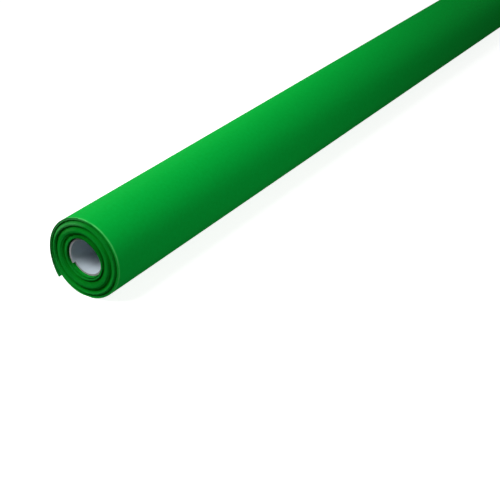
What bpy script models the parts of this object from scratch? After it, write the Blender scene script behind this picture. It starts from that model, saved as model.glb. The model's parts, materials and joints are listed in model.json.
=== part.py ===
"""A half-width roll of seamless backdrop paper, lying on its side on the ground.

The roll's axis runs along Y, at one roll radius above Z = 0, and the near end is the one at -Y.
Angles are in degrees about that axis, counter-clockwise from +X as seen from the near end.
One sheet is wound on a paperboard core. It starts under tape on the core, winds outwards with
growing angle, and its leading edge stands a little off the roll as a springy loose tail.
"""

import math

import bmesh
import bpy

# Driving dimensions, in metres
SHEET_WIDTH = 1.35
ROLL_RADIUS = 0.040
CORE_BORE_RADIUS = 0.0175
CORE_LENGTH = 1.35
CORE_SLIP = 0.003  # how far the core has slid towards the far end
LINER_THICKNESS = 0.0003
BOARD_THICKNESS = 0.0006
COVER_THICKNESS = 0.0003
GAP = 0.0003  # air between faces that touch on the real roll
SHEET_END_THICKNESS = 0.0003  # the sheet where it lies singly, at its start and in its tail
TAPE_THICKNESS = 0.0003
TAPE_WIDTH = 0.048
TAPE_INSET = 0.060  # from each edge of the sheet to the middle of the outer tapes

# The winding, in turns and degrees. One modelled turn stands for about five real ones
SIDES = 30  # flat sides around every turn
STEP = 360 / SIDES
WOUND_TURNS = 12
START_ANGLE = 216  # the sheet's inner end, on the core
TAIL_ANGLE = 96  # where the sheet leaves the roll
SECOND_TURN_ROOM = 0.0013  # the second turn's rise over the core, which leaves room for the tape
TAPE_REACH = 36  # how far the tape runs to each side of the sheet's inner end
TAPE_STEP_UP = 6  # where the tape climbs from the core to the sheet, before the end

# The loose tail
TAIL_LEAVES = 6
LEAF_SPAN = 21
LEAF_SIDES = 3
HINGE_GAP = 0.6  # degrees between one leaf and the next
TAIL_SEATED = 84  # past TAIL_ANGLE, where the tail lies on a full-size roll again
LIFT_START = 56  # past TAIL_ANGLE, where the tail starts to stand off
TIP_LIFT = 0.0041

TURNS = WOUND_TURNS - (START_ANGLE - TAIL_ANGLE) / 360
CORE_RADIUS = (
    CORE_BORE_RADIUS + LINER_THICKNESS + GAP + BOARD_THICKNESS + GAP + COVER_THICKNESS
)
FLAT_TO_CORNER = 1 / math.cos(math.radians(STEP / 2))

GREEN = (0.005, 0.24, 0.045, 1)
LINER_WHITE = (0.72, 0.74, 0.78, 1)
BOARD_GREY = (0.36, 0.33, 0.29, 1)
TAPE_CREAM = (0.78, 0.72, 0.55, 1)


def clear_scene():
    for obj in list(bpy.data.objects):
        bpy.data.objects.remove(obj, do_unlink=True)


def material(name, colour, roughness):
    made = bpy.data.materials.new(name)
    made.use_nodes = True
    shader = made.node_tree.nodes["Principled BSDF"]
    shader.inputs["Base Color"].default_value = colour
    shader.inputs["Roughness"].default_value = roughness
    shader.inputs["Metallic"].default_value = 0
    return made


def around(radius, angle):
    """The X and Z of a point at this radius and angle about the roll's axis."""
    turn = math.radians(angle)
    return radius * math.cos(turn), ROLL_RADIUS + radius * math.sin(turn)


def extruded_strip(name, stations, y_start, length, look, hinge=(0, 0, 0), ring=False):
    """A solid whose section runs through (angle, inner radius, outer radius) stations.

    The object's origin is at hinge. A ring joins its last station to its first.
    """
    mesh = bmesh.new()
    rungs = []
    for angle, *radii in stations:
        ends = [around(radius, angle) for radius in radii]
        rungs.append([mesh.verts.new((x, y_start, z)) for x, z in ends])
    following = rungs[1:] + rungs[:1] if ring else rungs[1:]
    section = [
        mesh.faces.new((a[0], a[1], b[1], b[0])) for a, b in zip(rungs, following)
    ]
    moved = bmesh.ops.extrude_face_region(mesh, geom=section)["geom"]
    top = [part for part in moved if isinstance(part, bmesh.types.BMVert)]
    bmesh.ops.translate(mesh, verts=top, vec=(0, length, 0))
    bmesh.ops.translate(mesh, verts=mesh.verts, vec=[-place for place in hinge])
    bmesh.ops.recalc_face_normals(mesh, faces=mesh.faces)
    data = bpy.data.meshes.new(name)
    mesh.to_mesh(data)
    mesh.free()
    data.shade_smooth()
    data.set_sharp_from_angle(angle=math.radians(40))
    data.materials.append(look)
    made = bpy.data.objects.new(name, data)
    made.location = hinge
    bpy.context.scene.collection.objects.link(made)
    return made


def core_ply(name, inner, thickness, look):
    """One ply of the core, whose flat sides are tangent to its stated radii."""
    radii = inner * FLAT_TO_CORNER, (inner + thickness) * FLAT_TO_CORNER
    stations = [(TAIL_ANGLE + STEP * i, *radii) for i in range(SIDES)]
    y_start = CORE_SLIP - CORE_LENGTH / 2
    return extruded_strip(name, stations, y_start, CORE_LENGTH, look, ring=True)


def core():
    board = material("core_board_grey", BOARD_GREY, 0.85)
    board_radius = CORE_BORE_RADIUS + LINER_THICKNESS + GAP
    cover_radius = board_radius + BOARD_THICKNESS + GAP
    white = material("core_liner_white", LINER_WHITE, 0.7)
    core_ply("core_liner_ply", CORE_BORE_RADIUS, LINER_THICKNESS, white)
    core_ply("core_board_ply", board_radius, BOARD_THICKNESS, board)
    core_ply("core_cover_ply", cover_radius, COVER_THICKNESS, board)


def winding_inner(turns):
    """The inner radius of the winding, this many turns out from its inner end."""
    first = CORE_RADIUS + GAP
    if turns < 1:
        return first + SECOND_TURN_ROOM * turns
    last = ROLL_RADIUS - SHEET_END_THICKNESS
    second = first + SECOND_TURN_ROOM
    return second + (last - second) * (turns - 1) / (TURNS - 1)


def seat_depth(past_tail):
    """How deep the roll's surface lies under the tail, by degrees past TAIL_ANGLE."""
    share = min(max(past_tail / TAIL_SEATED, 0), 1)
    return (GAP + SHEET_END_THICKNESS) * (1 - share * share * (3 - 2 * share))


def winding_outer(turns):
    if turns * 360 <= TAPE_REACH:
        return winding_inner(turns) + SHEET_END_THICKNESS
    if turns < TURNS - 1:
        return winding_inner(turns + 1) - GAP
    return ROLL_RADIUS - seat_depth((turns - TURNS + 1) * 360)


def wound_sheet(look):
    stations = []
    for i in range(round(TURNS * SIDES) + 1):
        radii = winding_inner(i / SIDES), winding_outer(i / SIDES)
        stations.append((START_ANGLE + STEP * i, *(r * FLAT_TO_CORNER for r in radii)))
    extruded_strip("wound_sheet", stations, -SHEET_WIDTH / 2, SHEET_WIDTH, look)


def tape_station(past_start):
    """The tape lies on the core before the sheet's inner end and on the sheet after it."""
    if past_start < -TAPE_STEP_UP:
        inner = CORE_RADIUS + GAP
    else:
        inner = winding_inner(max(past_start, 0) / 360) + SHEET_END_THICKNESS + GAP
    radii = inner * FLAT_TO_CORNER, (inner + TAPE_THICKNESS) * FLAT_TO_CORNER
    return START_ANGLE + past_start, *radii


def starter_tapes():
    """Three strips that hold the sheet's inner end to the core, between the first two turns."""
    cream = material("tape_cream", TAPE_CREAM, 0.45)
    bends = [-TAPE_REACH, -2 * STEP, -STEP, -TAPE_STEP_UP / 2, 0, STEP, 2 * STEP]
    bends.append(TAPE_REACH - STEP / 12)
    side = SHEET_WIDTH / 2 - TAPE_INSET
    for place, middle in (("near", -side), ("middle", 0), ("far", side)):
        stations = [tape_station(bend) for bend in bends]
        y_start = middle - TAPE_WIDTH / 2
        extruded_strip(f"starter_tape_{place}", stations, y_start, TAPE_WIDTH, cream)


def tail_inner(past_tail):
    """The tail's inner radius: it lies on the roll, then lifts more and more to its tip."""
    roll = (ROLL_RADIUS - seat_depth(past_tail)) * FLAT_TO_CORNER
    lifted = max(past_tail - LIFT_START, 0) / (TAIL_LEAVES * LEAF_SPAN - LIFT_START)
    return roll + GAP + TIP_LIFT * lifted * lifted


def leaf_hinge(index):
    """The axis about which a leaf turns, in the middle of the gap before it."""
    past_tail = index * LEAF_SPAN + HINGE_GAP / 2
    radius = tail_inner(past_tail) + SHEET_END_THICKNESS / 2
    x, z = around(radius, TAIL_ANGLE + past_tail)
    return x, 0, z


def tail_leaf(index, look):
    start = index * LEAF_SPAN + HINGE_GAP
    stations = []
    for i in range(LEAF_SIDES + 1):
        past_tail = start + (LEAF_SPAN - HINGE_GAP) * i / LEAF_SIDES
        inner = tail_inner(past_tail)
        stations.append((TAIL_ANGLE + past_tail, inner, inner + SHEET_END_THICKNESS))
    name = f"tail_leaf_{index + 1}"
    hinge = leaf_hinge(index)
    return extruded_strip(name, stations, -SHEET_WIDTH / 2, SHEET_WIDTH, look, hinge)


def loose_tail(look):
    """The leaves, each carried by the one before it."""
    carrier = None
    for index in range(TAIL_LEAVES):
        leaf = tail_leaf(index, look)
        if carrier:
            steps = zip(leaf_hinge(index), leaf_hinge(index - 1))
            leaf.parent = carrier
            leaf.location = [here - before for here, before in steps]
        carrier = leaf


def main():
    clear_scene()
    green = material("paper_green", GREEN, 0.6)
    core()
    starter_tapes()
    wound_sheet(green)
    loose_tail(green)


main()
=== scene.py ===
"""The looks of a roll of green seamless backdrop paper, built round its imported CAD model.

Lengths are in metres. The roll's axis runs along Y, and its near end is at -Y. Angles are in degrees
about the axis, counter-clockwise from +X as seen from the near end. Turns are counted outwards from
the sheet's inner end, so a place on the winding is a number of turns.
"""

import json
import math

import bpy
import numpy as np
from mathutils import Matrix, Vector


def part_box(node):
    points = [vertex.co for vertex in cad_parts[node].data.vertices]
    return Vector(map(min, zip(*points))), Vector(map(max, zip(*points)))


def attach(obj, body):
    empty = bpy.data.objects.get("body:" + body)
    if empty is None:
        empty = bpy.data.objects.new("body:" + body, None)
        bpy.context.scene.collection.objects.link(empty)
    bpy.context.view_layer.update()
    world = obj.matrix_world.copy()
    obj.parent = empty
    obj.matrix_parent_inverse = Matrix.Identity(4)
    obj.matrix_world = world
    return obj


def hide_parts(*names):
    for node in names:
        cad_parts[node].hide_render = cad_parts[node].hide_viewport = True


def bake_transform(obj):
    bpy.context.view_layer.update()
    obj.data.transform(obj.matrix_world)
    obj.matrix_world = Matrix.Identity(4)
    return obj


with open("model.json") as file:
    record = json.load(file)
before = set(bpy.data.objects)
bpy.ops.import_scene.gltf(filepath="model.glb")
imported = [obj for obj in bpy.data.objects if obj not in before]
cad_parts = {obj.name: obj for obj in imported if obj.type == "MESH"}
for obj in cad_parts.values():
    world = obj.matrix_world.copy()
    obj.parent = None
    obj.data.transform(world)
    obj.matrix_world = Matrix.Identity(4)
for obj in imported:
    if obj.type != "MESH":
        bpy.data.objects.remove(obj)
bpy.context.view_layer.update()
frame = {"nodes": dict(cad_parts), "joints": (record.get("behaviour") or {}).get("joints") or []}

# The roll, read from the frame
SHEET_LOW, SHEET_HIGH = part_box("wound_sheet")
ROLL_RADIUS = (SHEET_HIGH.z - SHEET_LOW.z) / 2
AXIS_HEIGHT = SHEET_LOW.z + ROLL_RADIUS
NEAR_Y, FAR_Y = SHEET_LOW.y, SHEET_HIGH.y
LINER_LOW, LINER_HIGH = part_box("core_liner_ply")
COVER_LOW, COVER_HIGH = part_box("core_cover_ply")
CORE_NEAR_Y, CORE_FAR_Y = LINER_LOW.y, LINER_HIGH.y
LINER_OUTER = (LINER_HIGH.z - LINER_LOW.z) / 2
CORE_OUTER = (COVER_HIGH.z - COVER_LOW.z) / 2
HINGES = [Vector(joint["pos_m"]) for joint in frame["joints"]]
LINER_THICKNESS = 0.0003

# The paper and how it is wound
PAPER = 0.0002  # thickness
START_ANGLE = 216  # the sheet's inner end
TURNS = 60 - 1 / 3  # to where the tail leaves the roll
TAIL_ANGLE = START_ANGLE + 360 * TURNS
TIP_ANGLE = 222  # the tip of the loose end
OUTER_TURN_START = TURNS - 0.85  # hidden under the tail

# How finely each strip is divided: its places along the sheet, and its lines, each at this share of
# the width from the near edge
SIDES = 64  # of each inner turn
OUTER_PLACES = 180
LEAF_PLACES = 22
WOUND_LINES = (0, 0.0004, 0.0008, 0.0018, 0.003, 0.5, 0.997, 1)
RIM_LINES = (0, 0.0002, 0.0004, 0.0006, 0.0008, 0.0011)
OUTER_LINES = (*RIM_LINES, *np.linspace(0.003, 1, 85))
LEAF_LINES = np.linspace(0, 1, 61)
SHARP_ANGLE = 40  # between two faces, from which the edge between them shows sharp

# Turns out, radius, and how far off centre along X and Z, the last three as shares of the roll's
# radius. The turns lie in three bundles with a gap between each and the next.
WINDING = (
    (0.0, 0.4875, 0.0, 0.0),
    (0.1, 0.4875, 0.0, 0.0),
    (0.4, 0.505, -0.0175, 0.0),
    (1.0, 0.520, -0.022, -0.012),
    (6.0, 0.572, -0.042, -0.024),
    (7.0, 0.589, -0.048, -0.031),
    (23.0, 0.696, -0.060, -0.046),
    (40.0, 0.794, -0.060, -0.052),
    (41.0, 0.808, -0.059, -0.052),
    (47.0, 0.868, -0.052, -0.046),
    (53.7, 0.924, -0.034, -0.033),
    (54.7, 0.937, -0.029, -0.028),
    (58.6, 0.9945, 0.0, -0.007),
    (TURNS - 0.25, 1.0017, 0.0, -0.007),
    (TURNS, 1.0017, 0.0, 0.0),
)
# Turns out, and how far behind the foremost turn that turn ends at the near end. Each bundle's ends
# make a rounded step.
TERRACES = (
    (0.0, 0.0006),
    (3.0, 0.0003),
    (6.5, 0.0022),
    (23.0, 0.0),
    (40.5, 0.0024),
    (47.5, 0.0),
    (55.0, 0.0020),
    (56.4, 0.0008),
    (58.6, 0.0003),
    (TURNS, 0.0),
)
TERRACE_ROUNDING = 1.8
FAR_TERRACES = 0.6  # how deep the far end's steps are, as a share of the near end's
WANDER = 0.00006  # how far the turns' ends stray, by each of two waves
SLOW_WAVE, QUICK_WAVE = 7.3, 17.9  # how much of each wave passes in one turn, in radians
NEAR_PHASE, FAR_PHASE = 0.4, 1.9

# Past the core's near end the innermost turns lean in over it
LEAN = 0.0034
LEAN_ANGLE = 50  # where they lean most
LEAN_WIDTH = 90  # how far to each side of that angle they lean at all
LEAN_LENGTH = 0.0029
LEAN_TURNS = 7

# The cut leaves a burr on each side of the near edge
BURR = 0.00008
BURR_LENGTH = 0.0006
BURR_GAP = 0.00001  # the least air between one turn's burr and the next

# The outermost turns' near edge is rubbed round
RIM_TURNS = (56.4, 58.4)  # from none of it to all of it
RIM_DROP = 0.0005
RIM_ANGLE = 75  # where it is most rubbed
RIM_LENGTH = 0.0014

# The core
CORE_SIDES = 144
CORE_LINES = (0, 0.002, 0.05, 0.5, 0.95, 0.998, 1)
SEAM_ANGLE = 213
SEAM_STEP = 0.0026  # how far a ply's end runs along the core in its one turn

# The camera, from the middle of the roll's near end, in roll radii
CAMERA_PLACE = (15.656, -17.243, 12.888)
CAMERA_PITCH = 61.135
CAMERA_HEADING = 32.938
CAMERA_LENS, CAMERA_SENSOR = 83.54, 36  # in millimetres

# The studio
SWEEP = ((0, 0), (9, 0), (10.4, 0.4), (11.4, 1.4), (11.8, 2.8), (12, 9))  # radius and height
SWEEP_SIDES = 48
SWEEP_GLOW = 0.88
WORLD_GLOW = 0.1


def smooth_step(value):
    share = np.clip(value, 0, 1)
    return share * share * (3 - 2 * share)


def wound_radius(turns, angle):
    """The radius of the sheet's middle from the roll's axis, this many turns out."""
    places, radius, off_x, off_z = np.array(WINDING).T
    turn = np.radians(angle)
    off_right = np.interp(turns, places, off_x) * np.cos(turn)
    off_up = np.interp(turns, places, off_z) * np.sin(turn)
    return ROLL_RADIUS * (np.interp(turns, places, radius) + (off_right + off_up))


def terrace_depth(turns):
    """How far behind the foremost turn this turn ends."""
    depth = np.zeros_like(turns)
    for (start, first), (end, last) in zip(TERRACES, TERRACES[1:]):
        share = np.clip((turns - start) / (end - start), 0, 1)
        if first > last:
            curve = last + (first - last) * (1 - share) ** TERRACE_ROUNDING
        else:
            curve = first + (last - first) * share ** TERRACE_ROUNDING
        depth = np.where((turns >= start) & (turns <= end), curve, depth)
    return depth


def uneven(turns, phase):
    """A small wander of the turns' ends, which never repeats."""
    return WANDER * (np.sin(SLOW_WAVE * turns + phase) + np.sin(QUICK_WAVE * turns + 2 * phase))


def place(radius, angle, y):
    """The points at this radius, angle and y, none of them under the ground."""
    turn = np.radians(angle)
    x = radius * np.cos(turn)
    z = AXIS_HEIGHT + radius * np.sin(turn)
    return np.stack([x, np.broadcast_to(y, x.shape), np.maximum(z, SHEET_LOW.z)], -1)


def strip_faces(steps, lines):
    """The quads of a closed thin strip, facing out: outer side, inner side, long edges, ends."""
    outer = np.arange(steps * lines).reshape(steps, lines)
    inner = outer + steps * lines

    def quads(a, b, c, d):
        return np.stack([a, b, c, d], -1).reshape(-1, 4)

    sides = [
        quads(outer[:-1, :-1], outer[:-1, 1:], outer[1:, 1:], outer[1:, :-1]),
        quads(inner[:-1, :-1], inner[1:, :-1], inner[1:, 1:], inner[:-1, 1:]),
    ]
    edges = [
        quads(outer[:-1, 0], outer[1:, 0], inner[1:, 0], inner[:-1, 0]),
        quads(outer[:-1, -1], inner[:-1, -1], inner[1:, -1], outer[1:, -1]),
        quads(outer[0, :-1], inner[0, :-1], inner[0, 1:], outer[0, 1:]),
        quads(outer[-1, :-1], outer[-1, 1:], inner[-1, 1:], inner[-1, :-1]),
    ]
    return np.concatenate(sides), np.concatenate(edges)


def along_sheet(angle, radius):
    """How far along the sheet each of these places lies from the first."""
    return np.concatenate([[0], np.cumsum(np.radians(np.diff(angle)) * radius[1:])])


def thin_strip(name, angle, radius, thickness, near, far, across, looks, bulge=None, burr=None):
    """A closed strip that follows angle and radius, with its long edges at near and far.

    across lists where its lines run, from 0 at the near edge to 1 at the far one. looks is the
    material of its two sides and that of its edges. bulge(angle, y) is added to the radius, and
    burr(angle, y) gives what is added to its outer and to its inner side.
    """
    span = np.asarray(across)[None, :]
    y = near[:, None] * (1 - span) + far[:, None] * span
    angles = np.broadcast_to(angle[:, None], y.shape)
    middle = np.broadcast_to(radius[:, None], y.shape)
    if bulge:
        middle = middle + bulge(angles, y)
    swell_out, swell_in = burr(angles, y) if burr else (0, 0)
    outer = place(middle + thickness / 2 + swell_out, angles, y)
    inner = place(middle - thickness / 2 - swell_in, angles, y)
    points = np.concatenate([outer.reshape(-1, 3), inner.reshape(-1, 3)])
    sides, edges = strip_faces(*y.shape)
    faces = np.concatenate([sides, edges])
    mesh = bpy.data.meshes.new(name)
    mesh.from_pydata(points.tolist(), [], faces.tolist())
    for look in looks:
        mesh.materials.append(look)
    marks = np.zeros(len(faces), np.int32)
    marks[len(sides):] = 1
    mesh.polygons.foreach_set("material_index", marks)
    along = np.broadcast_to(along_sheet(angle, radius)[:, None], y.shape)
    flat = np.stack([along, y], -1).reshape(-1, 2)
    corner = mesh.uv_layers.new(name="Sheet").data
    corners = np.tile(flat, (2, 1))[faces.ravel()]
    corner.foreach_set("uv", corners.astype(np.float32).ravel())
    mesh.shade_smooth()
    mesh.set_sharp_from_angle(angle=math.radians(SHARP_ANGLE))
    made = bpy.data.objects.new(name, mesh)
    bpy.context.scene.collection.objects.link(made)
    return made


# Materials

GREEN = (0.0, 0.43, 0.045, 1)
DARK_GREEN = (0.0, 0.40, 0.037, 1)
PALE_GREEN = (0.02, 0.51, 0.085, 1)
# A painted highlight, for the sheet's long edges and the outer bundle's upper-left cut edges
HIGHLIGHT_GREEN = (0.08, 0.60, 0.13, 1)
# A painted highlight, for the foremost cut edges of the proud bundles
CREST_HIGHLIGHT_GREEN = (0.012, 0.47, 0.05, 1)
# Darker greens, all painted shade: the cut edges and inner turns' sides, those set back from the front,
# the deep gaps between the turns' ends, and the innermost bundle's upper side
EDGE_GREEN = (0.004, 0.32, 0.03, 1)
SHADED_GREEN = (0.0, 0.24, 0.007, 1)
GAP_GREEN = (0.0, 0.30, 0.010, 1)
INNER_GREEN = (0.0, 0.16, 0.006, 1)
WHITE = (0.57, 0.65, 0.71, 1)
OFF_WHITE = (0.50, 0.57, 0.63, 1)
BOARD = (0.40, 0.41, 0.42, 1)
DARK_BOARD = (0.31, 0.31, 0.31, 1)
TAPE = (0.78, 0.70, 0.52, 1)
DARK_TAPE = (0.66, 0.57, 0.38, 1)
FLOOR_GREY = (0.5, 0.5, 0.5, 1)
LIGHT = (1, 1, 1, 1)

# How fine the marks of the paper, board and tape are, per metre, and how high they stand
CLOUDS = 260
CLOUD_HEIGHT = 0.00004
FIBRES = (900, 3600, 1)  # along the sheet and across it, as FRAY and FLECKS are
FIBRE_HEIGHT = 0.00003
TOOTH = 5200
TOOTH_HEIGHT = 0.00001
FRAY = (2500, 400, 1)
FRAY_HEIGHT = 0.00005
BOARD_CLOUDS = 150
BOARD_CLOUD_HEIGHT = 0.00005
FLECKS = (1500, 900, 1)
FLECK_HEIGHT = 0.00004
CREPE = (300, 3000, 300)  # along X, Y and Z
CREPE_HEIGHT = 0.0001
# How fine the patches of the painted highlight along the long edges are
HIGHLIGHT_PATCHES = 140

# Distances in from the sheet's long edges: where the painted highlight and the lit front of the cut
# edges begin, and where that highlight is whole; where the painted shade between the turns' ends
# begins, and where it is deepest
HIGHLIGHT_START, HIGHLIGHT_WHOLE = 0.0018, 0.0004
GAP_START, GAP_DEEP = 0.0008, 0.0034

# Distances along the sheet, between which its second turn comes to lie over the first
FIRST_COVERED, WHOLLY_COVERED = 0.09, 0.16

SHADE_ANGLE = 65  # the side of the bundles that lies in the shade
HIGHLIGHT_ANGLE = 120  # the side where the outer bundle's cut edges get the most painted highlight


class Nodes:
    """A material's node tree, with short ways to add and link nodes."""

    def __init__(self, name, roughness, specular):
        self.material = bpy.data.materials.new(name)
        self.material.use_nodes = True
        self.tree = self.material.node_tree
        self.shader = self.tree.nodes["Principled BSDF"]
        self.shader.inputs["Roughness"].default_value = roughness
        self.shader.inputs["Specular IOR Level"].default_value = specular

    def add(self, kind, settings=None, **inputs):
        node = self.tree.nodes.new(kind)
        for name, value in (settings or {}).items():
            setattr(node, name, value)
        for name, value in inputs.items():
            self.feed(node.inputs[name], value)
        return node

    def feed(self, socket, value):
        if isinstance(value, bpy.types.NodeSocket):
            self.tree.links.new(value, socket)
        else:
            socket.default_value = value

    def noise(self, vector, scale, detail=3, roughness=0.55):
        made = self.add("ShaderNodeTexNoise", Vector=vector, Scale=scale, Detail=detail)
        self.feed(made.inputs["Roughness"], roughness)
        return made.outputs["Fac"]

    def stretched(self, vector, scale):
        made = self.add("ShaderNodeMapping", Vector=vector, Scale=scale)
        return made.outputs["Vector"]

    def between(self, value, low, high, to_low=0.0, to_high=1.0):
        made = self.add("ShaderNodeMapRange", Value=value)
        made.inputs["From Min"].default_value = low
        made.inputs["From Max"].default_value = high
        made.inputs["To Min"].default_value = to_low
        made.inputs["To Max"].default_value = to_high
        return made.outputs["Result"]

    def maths(self, operation, *values):
        made = self.add("ShaderNodeMath", {"operation": operation})
        for socket, value in zip(made.inputs, values):
            self.feed(socket, value)
        return made.outputs[0]

    def product(self, first, second):
        return self.maths("MULTIPLY", first, second)

    def tint(self, share, first, second):
        """A mix of two colours, whose own sockets are the node's inputs 6 and 7 and its output 2."""
        made = self.add("ShaderNodeMix", {"data_type": "RGBA"})
        self.feed(made.inputs[0], share)
        self.feed(made.inputs[6], first)
        self.feed(made.inputs[7], second)
        return made.outputs[2]

    def relief(self, height, distance, below=None):
        made = self.add("ShaderNodeBump", Height=height, Distance=distance, Strength=1.0)
        if below:
            self.feed(made.inputs["Normal"], below)
        return made.outputs["Normal"]

    def finish(self, colour, roughness, normal):
        self.feed(self.shader.inputs["Base Color"], colour)
        self.feed(self.shader.inputs["Roughness"], roughness)
        self.feed(self.shader.inputs["Normal"], normal)
        return self.material


def flat_place(nodes):
    """Where this is on the sheet laid flat: how far along it, and how far across from its middle."""
    return nodes.add("ShaderNodeUVMap", {"uv_map": "Sheet"}).outputs["UV"]


def distance_across(nodes, flat):
    """The distance from the sheet's middle line."""
    return nodes.maths("ABSOLUTE", nodes.add("ShaderNodeSeparateXYZ", Vector=flat).outputs["Y"])


def edge_highlight(nodes, flat):
    """A painted highlight: the sheet pales, in patches, in its last millimetre or two before each long
    edge.
    """
    wear_and_highlight = nodes.between(distance_across(nodes, flat), FAR_Y - HIGHLIGHT_START, FAR_Y - HIGHLIGHT_WHOLE)
    patches = nodes.noise(flat, HIGHLIGHT_PATCHES)
    return nodes.product(wear_and_highlight, nodes.between(patches, 0.3, 0.6, 0.35, 1.0))


def between_turns(nodes, flat):
    """How deep between the turns' ends, where little light gets in. The first turn lies open."""
    deep = nodes.between(distance_across(nodes, flat), FAR_Y - GAP_START, FAR_Y - GAP_DEEP)
    along = nodes.add("ShaderNodeSeparateXYZ", Vector=flat).outputs["X"]
    return nodes.product(deep, nodes.between(along, FIRST_COVERED, WHOLLY_COVERED))


def paper_grain(nodes, flat, green, dark):
    """The paper's cloudy formation, and the fibres along its web, in these two greens."""
    cloud = nodes.noise(flat, CLOUDS, 4)
    fibre = nodes.noise(nodes.stretched(flat, FIBRES), 1.0, 4, 0.65)
    colour = nodes.tint(nodes.between(cloud, 0.3, 0.7), green, dark)
    normal = nodes.relief(fibre, FIBRE_HEIGHT, below=nodes.relief(cloud, CLOUD_HEIGHT))
    return fibre, colour, normal


def paper_look():
    """Machine-made paper, with a soft tooth, and a painted highlight along its long edges."""
    nodes = Nodes("green_paper", 0.8, 0.04)
    flat = flat_place(nodes)
    fibre, colour, normal = paper_grain(nodes, flat, GREEN, DARK_GREEN)
    colour = nodes.tint(nodes.between(fibre, 0.62, 0.8, 0, 0.35), colour, PALE_GREEN)
    # Painted highlight along the long edges
    colour = nodes.tint(edge_highlight(nodes, flat), colour, HIGHLIGHT_GREEN)
    normal = nodes.relief(nodes.noise(flat, TOOTH, 2), TOOTH_HEIGHT, below=normal)
    return nodes.finish(colour, nodes.between(fibre, 0.3, 0.7, 0.72, 0.9), normal)


def shaded_gap_look():
    """The inner turns' paper, which shows only as narrow bands between their ends. Its greens are
    darker than the paper's as a painted shade, darker still deep between the turns' ends and on the
    innermost bundle's upper side.
    """
    nodes = Nodes("green_paper_gaps", 0.85, 0.04)
    flat = flat_place(nodes)
    # The inner turns' sides in darker greens, a painted shade
    fibre, colour, normal = paper_grain(nodes, flat, EDGE_GREEN, SHADED_GREEN)
    colour = nodes.tint(between_turns(nodes, flat), colour, GAP_GREEN)
    colour = nodes.tint(inner_shade(nodes), colour, INNER_GREEN)
    return nodes.finish(colour, nodes.between(fibre, 0.3, 0.7, 0.75, 0.92), normal)


def from_axis(nodes):
    """How far this is from the roll's axis, and which way, across the section."""
    where = nodes.add("ShaderNodeTexCoord").outputs["Object"]
    centre = nodes.add("ShaderNodeVectorMath", {"operation": "MULTIPLY_ADD"})
    nodes.feed(centre.inputs[0], where)
    nodes.feed(centre.inputs[1], (1, 0, 1))
    nodes.feed(centre.inputs[2], (0, 0, -AXIS_HEIGHT))
    return centre.outputs["Vector"]


def radius_share(nodes, low, high):
    """Rises from 0 to 1 between these radii, given as shares of the roll's."""
    length = nodes.add("ShaderNodeVectorMath", {"operation": "LENGTH"})
    nodes.feed(length.inputs[0], from_axis(nodes))
    return nodes.between(length.outputs["Value"], low * ROLL_RADIUS, high * ROLL_RADIUS)


def towards(nodes, angle, low, high):
    """Rises from 0 to 1 with the distance towards this angle, given as shares of the roll's radius."""
    turn = math.radians(angle)
    along = nodes.add("ShaderNodeVectorMath", {"operation": "DOT_PRODUCT"})
    nodes.feed(along.inputs[0], from_axis(nodes))
    nodes.feed(along.inputs[1], (math.cos(turn), 0, math.sin(turn)))
    return nodes.between(along.outputs["Value"], low * ROLL_RADIUS, high * ROLL_RADIUS)


def inner_shade(nodes):
    """The innermost bundle's upper side, which lies in the shade of the turns around it."""
    return nodes.product(radius_share(nodes, 0.61, 0.56), towards(nodes, SHADE_ANGLE, 0.18, 0.42))


def cut_edge_look():
    """The sheet's cut edge: short torn fibres. Edges set back from the front get a painted shade, the
    proud bundles' foremost edges a painted highlight, stronger towards the outer bundle's upper left,
    and the innermost bundle's upper side a painted shade.
    """
    nodes = Nodes("green_paper_edge", 0.9, 0.04)
    flat = flat_place(nodes)
    fray = nodes.noise(nodes.stretched(flat, FRAY), 1.0)
    foremost = nodes.between(distance_across(nodes, flat), FAR_Y - HIGHLIGHT_START, FAR_Y)
    # How lit the foremost edges are; the edges set back from the front take a painted shade
    lit_front = nodes.product(foremost, nodes.between(fray, 0.2, 0.6, 0.5, 1.0))
    colour = nodes.tint(lit_front, SHADED_GREEN, EDGE_GREEN)
    proud = nodes.maths("ADD", radius_share(nodes, 0.80, 0.88), radius_share(nodes, 0.60, 0.56))
    # Painted highlight on the proud bundles' foremost edges
    colour = nodes.tint(nodes.product(lit_front, proud), colour, CREST_HIGHLIGHT_GREEN)
    # Stronger painted highlight towards the outer bundle's upper left
    lit_side = nodes.product(lit_front, towards(nodes, HIGHLIGHT_ANGLE, 0.67, 0.82))
    colour = nodes.tint(lit_side, colour, HIGHLIGHT_GREEN)
    colour = nodes.tint(inner_shade(nodes), colour, INNER_GREEN)
    roughness = nodes.between(fray, 0.3, 0.7, 0.8, 0.95)
    return nodes.finish(colour, roughness, nodes.relief(fray, FRAY_HEIGHT))


def board_look(name, pale, dark, roughness):
    """Paperboard: darker recycled flecks in a cloudy, felted ground."""
    nodes = Nodes(name, roughness, 0.3)
    flat = flat_place(nodes)
    cloud = nodes.noise(flat, BOARD_CLOUDS, 4)
    fleck = nodes.noise(nodes.stretched(flat, FLECKS), 1.0, 3, 0.7)
    colour = nodes.tint(nodes.between(cloud, 0.3, 0.7, 0, 0.5), pale, dark)
    colour = nodes.tint(nodes.between(fleck, 0.68, 0.74, 0, 0.5), colour, dark)
    normal = nodes.relief(fleck, FLECK_HEIGHT, below=nodes.relief(cloud, BOARD_CLOUD_HEIGHT))
    return nodes.finish(colour, nodes.between(fleck, 0.3, 0.7, roughness, 0.9), normal)


def tape_look():
    """Creped masking tape, finely wrinkled."""
    nodes = Nodes("masking_tape", 0.5, 0.4)
    where = nodes.add("ShaderNodeTexCoord").outputs["Object"]
    crepe = nodes.noise(nodes.stretched(where, CREPE), 1.0)
    colour = nodes.tint(crepe, TAPE, DARK_TAPE)
    roughness = nodes.between(crepe, 0.3, 0.7, 0.4, 0.6)
    return nodes.finish(colour, roughness, nodes.relief(crepe, CREPE_HEIGHT))


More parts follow.
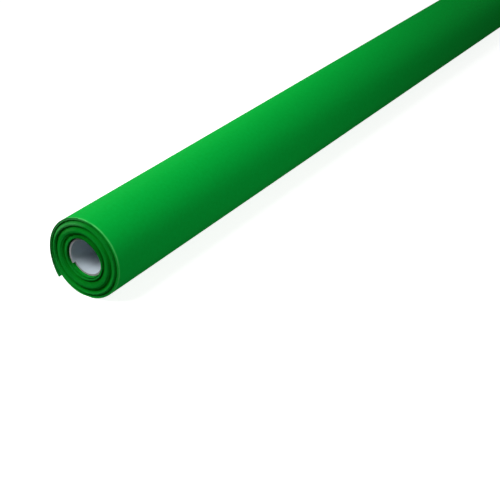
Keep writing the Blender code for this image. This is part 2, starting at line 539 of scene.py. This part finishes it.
def studio_white():
    """The floor and the sweep behind it, which glow so that they show white."""
    nodes = Nodes("studio_white", 0.9, 0.1)
    nodes.shader.inputs["Base Color"].default_value = FLOOR_GREY
    nodes.shader.inputs["Emission Color"].default_value = LIGHT
    nodes.shader.inputs["Emission Strength"].default_value = SWEEP_GLOW
    return nodes.material


EDGE_LOOK = cut_edge_look()
INNER_LOOKS = (shaded_gap_look(), EDGE_LOOK)
PAPER_LOOKS = (paper_look(), EDGE_LOOK)


# The sheet


def inner_lean(angle, y):
    """How far the innermost turns lean in past the core's near end."""
    turns = (angle - START_ANGLE) / 360
    aside = (angle - LEAN_ANGLE + 180) % 360 - 180
    share = np.clip(1 - np.abs(aside) / LEAN_WIDTH, 0, 1)
    reach = np.clip(1 - (y - NEAR_Y) / LEAN_LENGTH, 0, 1)
    inner = np.clip(1 - turns / LEAN_TURNS, 0, 1)
    return -LEAN * smooth_step(share) * reach * inner


def rim_drop(angle, y):
    """How far the outermost turns curve in towards their near edge."""
    turns = (angle - START_ANGLE) / 360
    near, _ = sheet_edges(turns)
    start, end = RIM_TURNS
    reach = np.clip(1 - (y - near) / RIM_LENGTH, 0, 1)
    wear_and_highlight = 0.5 + 0.5 * np.cos(np.radians(angle - RIM_ANGLE))
    return -RIM_DROP * wear_and_highlight * smooth_step((turns - start) / (end - start)) * reach * reach


def sheet_edges(turns):
    """Where the sheet's near and far edges lie, this many turns out."""
    near = NEAR_Y + terrace_depth(turns) + uneven(turns, NEAR_PHASE)
    far = FAR_Y - FAR_TERRACES * terrace_depth(turns) + uneven(turns, FAR_PHASE)
    return near, far


def end_bulge(angle, y):
    return inner_lean(angle, y) + rim_drop(angle, y)


def cut_burr(angle, y):
    """How far the burr swells the sheet outwards and inwards. It stops short of the next turn's."""
    turns = (angle - START_ANGLE) / 360
    near, _ = sheet_edges(turns)
    reach = np.clip(1 - (y - near) / BURR_LENGTH, 0, 1)
    here = wound_radius(turns, angle)
    room_out = (wound_radius(turns + 1, angle) - here - PAPER) / 2 - BURR_GAP
    room_in = (here - wound_radius(turns - 1, angle) - PAPER) / 2 - BURR_GAP
    return reach * np.clip(room_out, 0, BURR), reach * np.clip(room_in, 0, BURR)


def wound_turns():
    """Every turn but the outer one."""
    steps = round(OUTER_TURN_START * SIDES) + 1
    turns = np.linspace(0, OUTER_TURN_START, steps)
    angle = START_ANGLE + 360 * turns
    radius = wound_radius(turns, angle)
    near, far = sheet_edges(turns)
    ends = end_bulge, cut_burr
    return thin_strip("wound_turns", angle, radius, PAPER, near, far, WOUND_LINES, INNER_LOOKS, *ends)


def outer_turn():
    turns = np.linspace(OUTER_TURN_START, TURNS, OUTER_PLACES)
    angle = START_ANGLE + 360 * turns
    radius = wound_radius(turns, angle)
    near, far = sheet_edges(turns)
    return thin_strip("outer_turn", angle, radius, PAPER, near, far, OUTER_LINES, PAPER_LOOKS, rim_drop)


def tail_profile():
    """The angle and radius of the tail at each hinge and at its tip."""
    tip_low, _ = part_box("tail_leaf_6")
    tip_radius = (AXIS_HEIGHT - tip_low.z) / -math.sin(math.radians(TIP_ANGLE))
    angles = [math.degrees(math.atan2(h.z - AXIS_HEIGHT, h.x)) % 360 for h in HINGES]
    radii = [math.hypot(h.x, h.z - AXIS_HEIGHT) for h in HINGES]
    return np.array(angles + [TIP_ANGLE]), np.array(radii + [tip_radius])


def tail_radius(angle):
    """A smooth curve through the tail's profile."""
    angles, radii = tail_profile()
    slopes = np.gradient(radii, angles)
    found = np.clip(np.searchsorted(angles, angle) - 1, 0, len(angles) - 2)
    span = angles[found + 1] - angles[found]
    t = np.clip((angle - angles[found]) / span, 0, 1)
    start = (1 + 2 * t) * (1 - t) ** 2 * radii[found] + t * (1 - t) ** 2 * span * slopes[found]
    end = t * t * (3 - 2 * t) * radii[found + 1] + t * t * (t - 1) * span * slopes[found + 1]
    return start + end


def tail_strips():
    """The loose end, in strips that each span one hinge, from mid leaf to mid leaf."""
    angles, _ = tail_profile()
    middles = (angles[:-1] + angles[1:]) / 2
    bounds = [TAIL_ANGLE % 360, *middles[:-1], angles[-1]]
    strips = []
    for index in range(len(HINGES)):
        angle = np.linspace(bounds[index], bounds[index + 1], LEAF_PLACES)
        radius = tail_radius(angle)
        near = np.full_like(angle, NEAR_Y)
        far = np.full_like(angle, FAR_Y)
        name = f"loose_end_{index + 1}"
        strip = thin_strip(name, angle, radius, PAPER, near, far, LEAF_LINES, PAPER_LOOKS)
        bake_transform(strip)
        strips.append(strip)
    return strips


# The core


def core_ply(name, inner, outer, looks):
    """One rolled ply, whose ends run slantwise round the core and step at its seam."""
    angle = SEAM_ANGLE - np.linspace(360, 0, CORE_SIDES + 1)
    middle = np.full_like(angle, (inner + outer) / 2)
    slant = SEAM_STEP * ((SEAM_ANGLE - angle) / 360 - 0.5)
    near = CORE_NEAR_Y + slant
    far = CORE_FAR_Y + slant
    return thin_strip(name, angle, middle, outer - inner, near, far, CORE_LINES, looks)


def core():
    liner = board_look("core_liner", WHITE, OFF_WHITE, 0.6)
    board = board_look("core_board", BOARD, DARK_BOARD, 0.75)
    wall = CORE_OUTER - LINER_OUTER
    board_outer = LINER_OUTER + 2 * wall / 3
    bore = LINER_OUTER - LINER_THICKNESS
    plies = (
        ("core_liner", "core_liner_ply", "white_liner", bore, LINER_OUTER, (liner, board)),
        ("core_board", "core_board_ply", "grey_board", LINER_OUTER, board_outer, (board, board)),
        ("core_cover", "core_cover_ply", "grey_board", board_outer, CORE_OUTER, (board, board)),
    )
    for name, node, slot, inner, outer, looks in plies:
        ply = core_ply(name, inner, outer, looks)
        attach(ply, "roll")
        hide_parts(node)


# The studio


def floor():
    """A wide floor whose rim sweeps up into a wall. It throws no light on the roll."""
    points = []
    for radius, height in SWEEP:
        for i in range(SWEEP_SIDES):
            turn = math.tau * i / SWEEP_SIDES
            points.append((radius * math.cos(turn), radius * math.sin(turn), height))
    ring, up = np.meshgrid(np.arange(SWEEP_SIDES), np.arange(len(SWEEP) - 1))
    here = up * SWEEP_SIDES + ring
    beside = up * SWEEP_SIDES + (ring + 1) % SWEEP_SIDES
    corners = [here, here + SWEEP_SIDES, beside + SWEEP_SIDES, beside]
    faces = np.stack(corners, -1).reshape(-1, 4)
    mesh = bpy.data.meshes.new("floor")
    mesh.from_pydata(points, [], faces.tolist())
    mesh.materials.append(studio_white())
    mesh.shade_smooth()
    made = bpy.data.objects.new("floor", mesh)
    made.visible_diffuse = False
    made.visible_glossy = False
    made.visible_shadow = False
    bpy.context.scene.collection.objects.link(made)


def soft_light(name, at, target, side, power):
    """A square light at one point that faces another. Its power is in watts."""
    data = bpy.data.lights.new(name, "AREA")
    data.shape = "SQUARE"
    data.size = side
    data.energy = power
    made = bpy.data.objects.new(name, data)
    made.location = at
    made.rotation_euler = (Vector(target) - Vector(at)).to_track_quat("-Z", "Y").to_euler()
    made.visible_camera = False
    bpy.context.scene.collection.objects.link(made)


def lights():
    soft_light("key", at=(-0.25, -1.27, 1.1), target=(0, -0.6, 0.04), side=0.6, power=14.6)
    soft_light("top", at=(-0.3, -0.4, 0.3), target=(0, -0.4, 0.04), side=0.5, power=1.01)
    soft_light("fill", at=(0.7, -0.5, 0.08), target=(0, -0.5, 0.04), side=0.5, power=1.51)
    soft_light("far", at=(0.2, 0.95, 0.45), target=(0, 0.6, 0.04), side=0.4, power=0.6)
    world = bpy.data.worlds.new("studio")
    world.use_nodes = True
    background = world.node_tree.nodes["Background"]
    background.inputs["Color"].default_value = LIGHT
    background.inputs["Strength"].default_value = WORLD_GLOW
    bpy.context.scene.world = world


def camera():
    """Looks along the roll from its near end, over its right side."""
    near_end = Vector((0, NEAR_Y, AXIS_HEIGHT))
    data = bpy.data.cameras.new("camera")
    data.lens = CAMERA_LENS
    data.sensor_width = CAMERA_SENSOR
    made = bpy.data.objects.new("camera", data)
    made.location = near_end + ROLL_RADIUS * Vector(CAMERA_PLACE)
    made.rotation_euler = (math.radians(CAMERA_PITCH), 0, math.radians(CAMERA_HEADING))
    bpy.context.scene.collection.objects.link(made)
    bpy.context.scene.camera = made
    bpy.context.scene.view_settings.view_transform = "Standard"


def main():
    camera()
    lights()
    floor()
    core()
    wound = wound_turns()
    outer = outer_turn()
    strips = tail_strips()
    for piece in (wound, outer):
        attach(piece, "roll")
    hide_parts("wound_sheet")
    for index, strip in enumerate(strips):
        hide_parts(f"tail_leaf_{index + 1}")
    tape = tape_look()
    for node in ("starter_tape_near", "starter_tape_middle", "starter_tape_far"):
        frame["nodes"][node].material_slots[0].material = tape


main()
